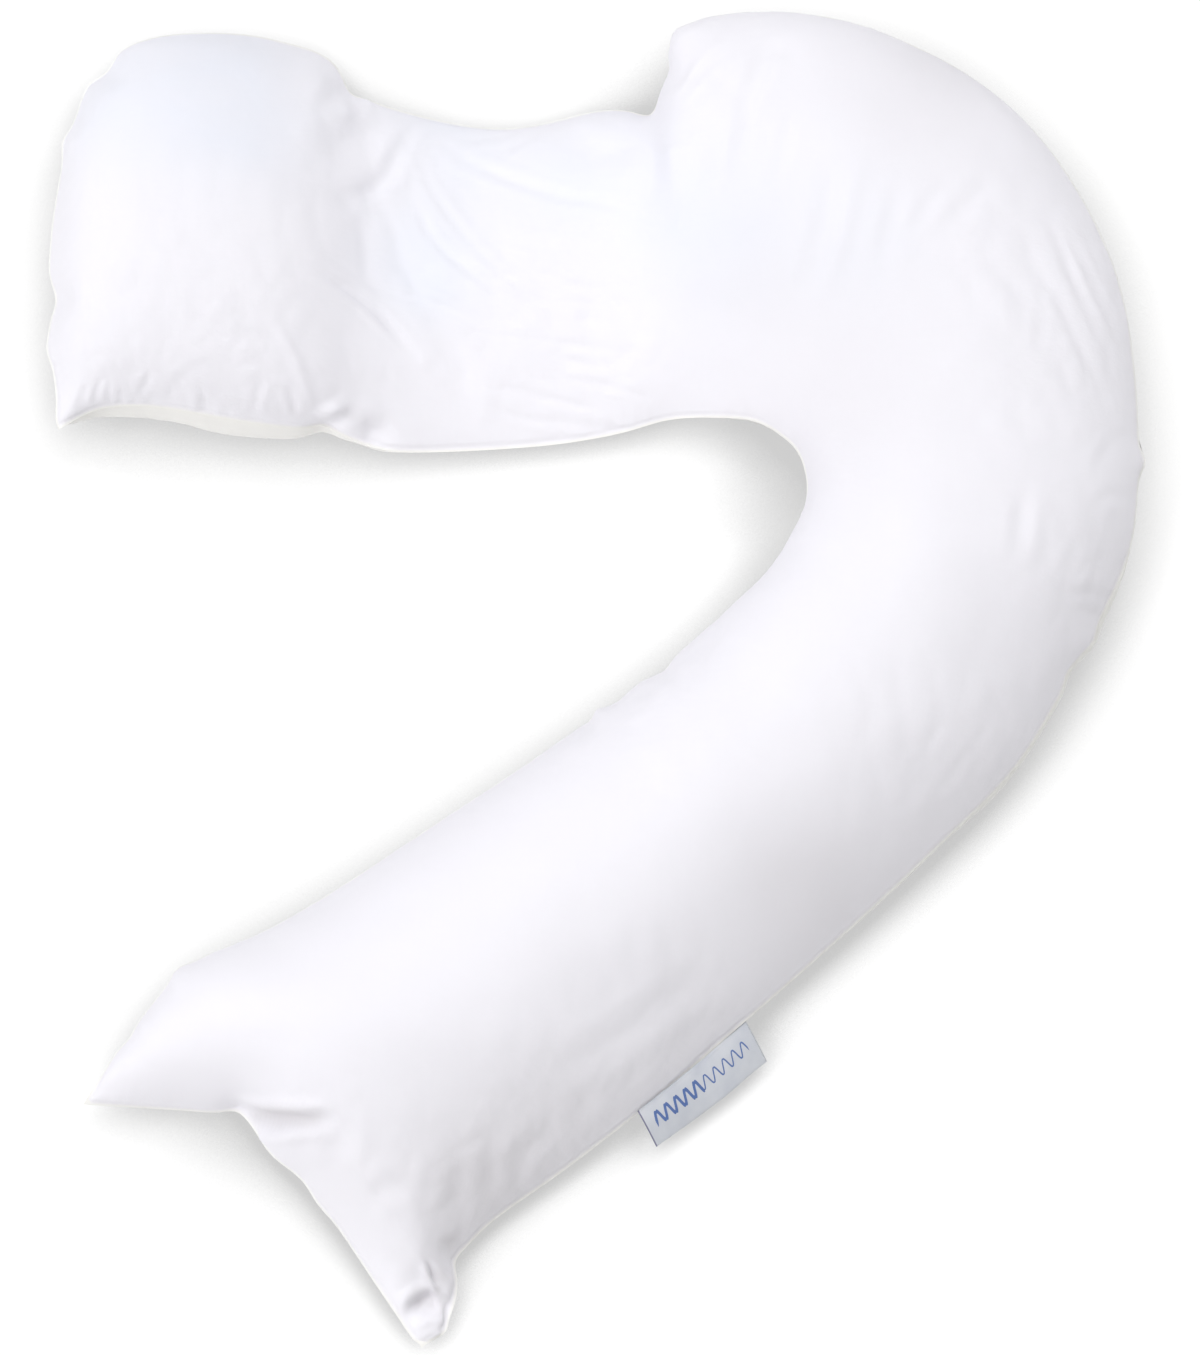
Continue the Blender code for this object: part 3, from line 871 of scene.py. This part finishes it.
# ---- the label: tape folded once, its raw ends in the leg's outer seam
label = {
    "start": (133.0, -305.0),
    "stop": (35.0, -386.0),
    "seamSection": 39,
    "out": (0.50, -0.866),
    "deep": 40.0,
    "clear": 1.0,
    "layer": 0.5,
    "between": 0.5,
    "droop": 16.0,
    "droopPower": 1.6,
    "reach": (0.95, 0.83),  # how far its upper and lower end reach out, as a share of its depth
    "ripple": 1.6,
    "rippleTurns": 1.25,
    "smallRipple": (0.5, 9, 3),  # height, phase along it and phase across it (radians)
    "rows": 56,
    "steps": 16,
    "foldSteps": 7,
    "rib": 0.7,
    "specular": 0.5,
    "sheen": 0.1,
    "roughness": (0.34, 0.2),  # least, and what the clouds add
    "cloudNoise": (38.0, 3.0, 0.5),
    "groundMix": (-0.35, 1.6, 0.08),  # even, cloudy and ribbed share of the darker ground
    "threadDepth": 0.00012,
    "threadStrength": 0.6,
    "threadShare": (0.5, 1.2),  # ribs and motif
    "ground": ((0.66, 0.68, 0.72, 1.0), (0.50, 0.53, 0.60, 1.0)),
    "motif": (0.09, 0.16, 0.40, 1.0),
    "waveLength": 11.0,
    "waveHeight": 5.6,
    "waveAt": 23.0,  # from the seam edge
    "thinStroke": 0.7,  # half its width; the lower end of the wave is bolder
    "boldStroke": 1.5,
    "margin": 10.0,  # plain tape at each end
    "shadedEndStrip": 1.2,  # painted shade of the tape's folded side edge
    "shadedEndColour": (0.20, 0.20, 0.30, 1.0),
}


def satinFinish(length):
    finish = Finish("wovenSatin", Specular_IOR_Level=label["specular"], Sheen_Weight=label["sheen"])
    cut = finish.node("ShaderNodeUVMap", {"uv_map": "cut"})
    along, deep = finish.split(cut)
    ribs = finish.maths("SINE", along * (2 * math.pi / (label["rib"] * mm)))
    cloudy = finish.noise(cut, label["cloudNoise"])
    evenly, cloudily, ribbed = label["groundMix"]
    ground = finish.colourMix(cloudy * cloudily + ribs * ribbed + evenly, *label["ground"])

    # one woven wave, bolder towards its lower end
    turn = 2 * math.pi / (label["waveLength"] * mm)
    high = label["waveHeight"] * mm
    steep = finish.maths("COSINE", along * turn) * (high * turn)
    offset = deep - label["waveAt"] * mm - finish.maths("SINE", along * turn) * high
    bold = finish.maths("GREATER_THAN", along, length * mm / 2)
    stroke = bold * ((label["boldStroke"] - label["thinStroke"]) * mm) + label["thinStroke"] * mm
    wave = finish.maths("LESS_THAN", offset * offset, stroke * stroke * (steep * steep + 1.0))
    fromMiddle = finish.maths("ABSOLUTE", along - length * mm / 2)
    motif = wave * finish.maths("LESS_THAN", fromMiddle, (length / 2 - label["margin"]) * mm)
    # painted shade: a dark strip at one end, where the tape folds at its side
    shadedEnd = finish.maths("GREATER_THAN", along, (length - label["shadedEndStrip"]) * mm)
    woven = finish.colourMix(motif, ground, label["motif"])
    finish.feed("Base Color", finish.colourMix(shadedEnd, woven, label["shadedEndColour"]))
    smoothest, cloudily = label["roughness"]
    finish.feed("Roughness", cloudy * cloudily + smoothest)
    ribbed, motifs = label["threadShare"]
    finish.feed("Normal", finish.node("ShaderNodeBump", {}, {
        "Height": ribs * ribbed + motif * motifs,
        "Distance": label["threadDepth"], "Strength": label["threadStrength"],
    }))
    return finish.material


def buildLabel(pillow):
    start, stop = np.array(label["start"]), np.array(label["stop"])
    length = float(np.linalg.norm(stop - start))
    out = np.array((*label["out"], 0.0))
    out /= np.linalg.norm(out)
    seamHeight = float(np.interp(label["seamSection"], fillTable[:, 0], fillTable[:, 5]))
    half = (label["between"] + label["layer"]) / 2
    steps = label["steps"]
    # one cross-section of the folded tape: the under layer out to the fold, then back on top
    profile = [(label["deep"] * step / steps, -half) for step in range(steps)]
    bends = np.linspace(0, math.pi, label["foldSteps"])
    profile += [(label["deep"] + half * math.sin(bend), -half * math.cos(bend)) for bend in bends]
    profile += [(label["deep"] * step / steps, half) for step in range(steps - 1, -1, -1)]
    profile = np.array(profile)
    run = np.concatenate(([0], np.cumsum(np.linalg.norm(np.diff(profile, axis=0), axis=1)))) - label["deep"]
    small, phaseAlong, phaseAcross = label["smallRipple"]
    points, places = [], []
    for row in range(label["rows"] + 1):
        along = row / label["rows"]
        base = np.append(start + (stop - start) * along - np.array(pillowForm["planCentre"]), seamHeight)
        hit = pillow.ray_cast(Vector((base + out * label["deep"]) * mm), Vector(-out))[1]
        edge = np.array(hit) / mm + out * label["clear"]
        for (deep, lift), place in zip(profile, run):
            share = deep / label["deep"]
            ripple = label["ripple"] * math.sin(2 * math.pi * label["rippleTurns"] * along)
            ripple = (ripple + small * math.sin(phaseAlong * along + phaseAcross * share)) * share
            drop = label["droop"] * share ** label["droopPower"]
            reach = np.interp(along, (0, 1), label["reach"])
            points.append(tuple((edge + out * deep * reach + np.array((0, 0, lift + ripple - drop))) * mm))
            places.append((along * length * mm, place * mm))
    columns = len(profile)
    faces = []
    for row in range(label["rows"]):
        for step in range(columns - 1):
            first = row * columns + step
            faces.append((first, first + columns, first + columns + 1, first + 1))
    mesh = bpy.data.meshes.new("wovenLabel")
    mesh.from_pydata(points, [], faces)
    corners = [places[vertex] for face in faces for vertex in face]
    mesh.uv_layers.new(name="cut").data.foreach_set("uv", np.array(corners, np.float32).reshape(-1))
    mesh.shade_smooth()
    mesh.materials.append(satinFinish(length))
    tape = linked("wovenLabel", mesh)
    thick = tape.modifiers.new("tape", "SOLIDIFY")
    thick.thickness = label["layer"] * mm
    thick.offset = 0.0
    graph = bpy.context.evaluated_depsgraph_get()
    solid = bpy.data.meshes.new_from_object(
        tape.evaluated_get(graph), preserve_all_data_layers=True, depsgraph=graph,
    )
    tape.modifiers.clear()
    tape.data = solid
    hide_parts("label")
    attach(tape, "root")


# ---- floor, light and camera
studio = {
    "floorSize": 30.0,
    "floorDrop": 0.0003,  # just under the pillow
    "floorRoughness": 0.9,
    "floorSpecular": 0.1,
    "floorTone": 0.2,  # most of the floor's white is its own glow, so that the shadows stay light
    "floorGlow": 0.87,
    "contactReach": 0.11,  # painted contact shadow: how far above the floor cloth still darkens the floor's colour and glow (m), and how much
    "contactShade": 0.42,
    "sky": 0.07,
    "skySamples": 4,
    "lampAway": 3.0,
    # direction it comes from (degrees), height above the floor (degrees), strength, softness (degrees), colour
    "lights": (
        ("key", 205, 28, 0.70, 50, (1.0, 0.995, 1.0)),
        ("highKey", 202, 55, 1.2, 50, (1.0, 0.995, 1.0)),
        ("topFill", 90, 55, 1.08, 50, (0.985, 0.99, 1.0)),
        ("backFill", 40, 28, 0.69, 50, (1.0, 0.995, 0.985)),
        ("frontFill", 285, 50, 0.54, 50, (1.0, 0.985, 0.94)),
        ("overhead", 0, 90, 0.38, 60, (1.0, 1.0, 1.0)),
    ),
}


def buildStudio():
    half = studio["floorSize"] / 2
    mesh = bpy.data.meshes.new("floor")
    mesh.from_pydata([(-half, -half, 0), (half, -half, 0), (half, half, 0), (-half, half, 0)], [], [(0, 1, 2, 3)])
    floor = linked("floor", mesh)
    floor.location.z = -studio["floorDrop"]
    tone = studio["floorTone"]
    paper = Finish(
        "floorPaper", Roughness=studio["floorRoughness"], Specular_IOR_Level=studio["floorSpecular"],
        Emission_Strength=studio["floorGlow"],
    )
    # a contact shadow painted into the floor's colour and glow: the cloth covers about half of the sky at the
    # pillow's outline, and the shade is narrowed by the third power
    openSky = paper.node(
        "ShaderNodeAmbientOcclusion", {"samples": studio["skySamples"]},
        {"Distance": studio["contactReach"]}, output=1,
    )
    covered = paper.maths("MINIMUM", (1 - openSky) * 2, 1.0)
    paintedShadowFactor = 1 - covered * covered * covered * studio["contactShade"]
    black = (0.0, 0.0, 0.0, 1.0)
    paper.feed("Base Color", paper.colourMix(paintedShadowFactor, black, (tone, tone, tone, 1.0)))
    paper.feed("Emission Color", paper.colourMix(paintedShadowFactor, black, (1.0, 1.0, 1.0, 1.0)))
    mesh.materials.append(paper.material)
    world = bpy.data.worlds.new("studioSky")
    world.use_nodes = True
    world.node_tree.nodes["Background"].inputs["Color"].default_value = (1, 1, 1, 1)
    world.node_tree.nodes["Background"].inputs["Strength"].default_value = studio["sky"]
    bpy.context.scene.world = world
    for name, azimuth, height, strength, softness, colour in studio["lights"]:
        light = bpy.data.lights.new(name, "SUN")
        light.energy = strength
        light.angle = math.radians(softness)
        light.color = colour
        lamp = linked(name, light)
        azimuth, height = math.radians(azimuth), math.radians(height)
        level = math.cos(height)
        source = Vector((level * math.cos(azimuth), level * math.sin(azimuth), math.sin(height)))
        lamp.location = source * studio["lampAway"]
        lamp.rotation_euler = source.to_track_quat("Z", "Y").to_euler()


def buildCamera():
    lens = bpy.data.cameras.new("camera")
    camera = linked("camera", lens)
    back = Vector((0, -math.sin(picture["tilt"]), math.cos(picture["tilt"])))
    camera.location = (Vector(picture["lookAt"]) + back * picture["away"]) * mm
    camera.rotation_euler = (picture["tilt"], 0, 0)
    lens.sensor_width = picture["sensor"]
    lens.lens = picture["sensor"] * picture["away"] / (picture["high"] * picture["pixel"])
    lens.clip_end = picture["farthest"]
    bpy.context.scene.camera = camera


pillow = buildPillow()
print("label")
buildLabel(pillow)
print("studio and camera")
buildStudio()
buildCamera()
bpy.context.scene.view_settings.view_transform = "Standard"
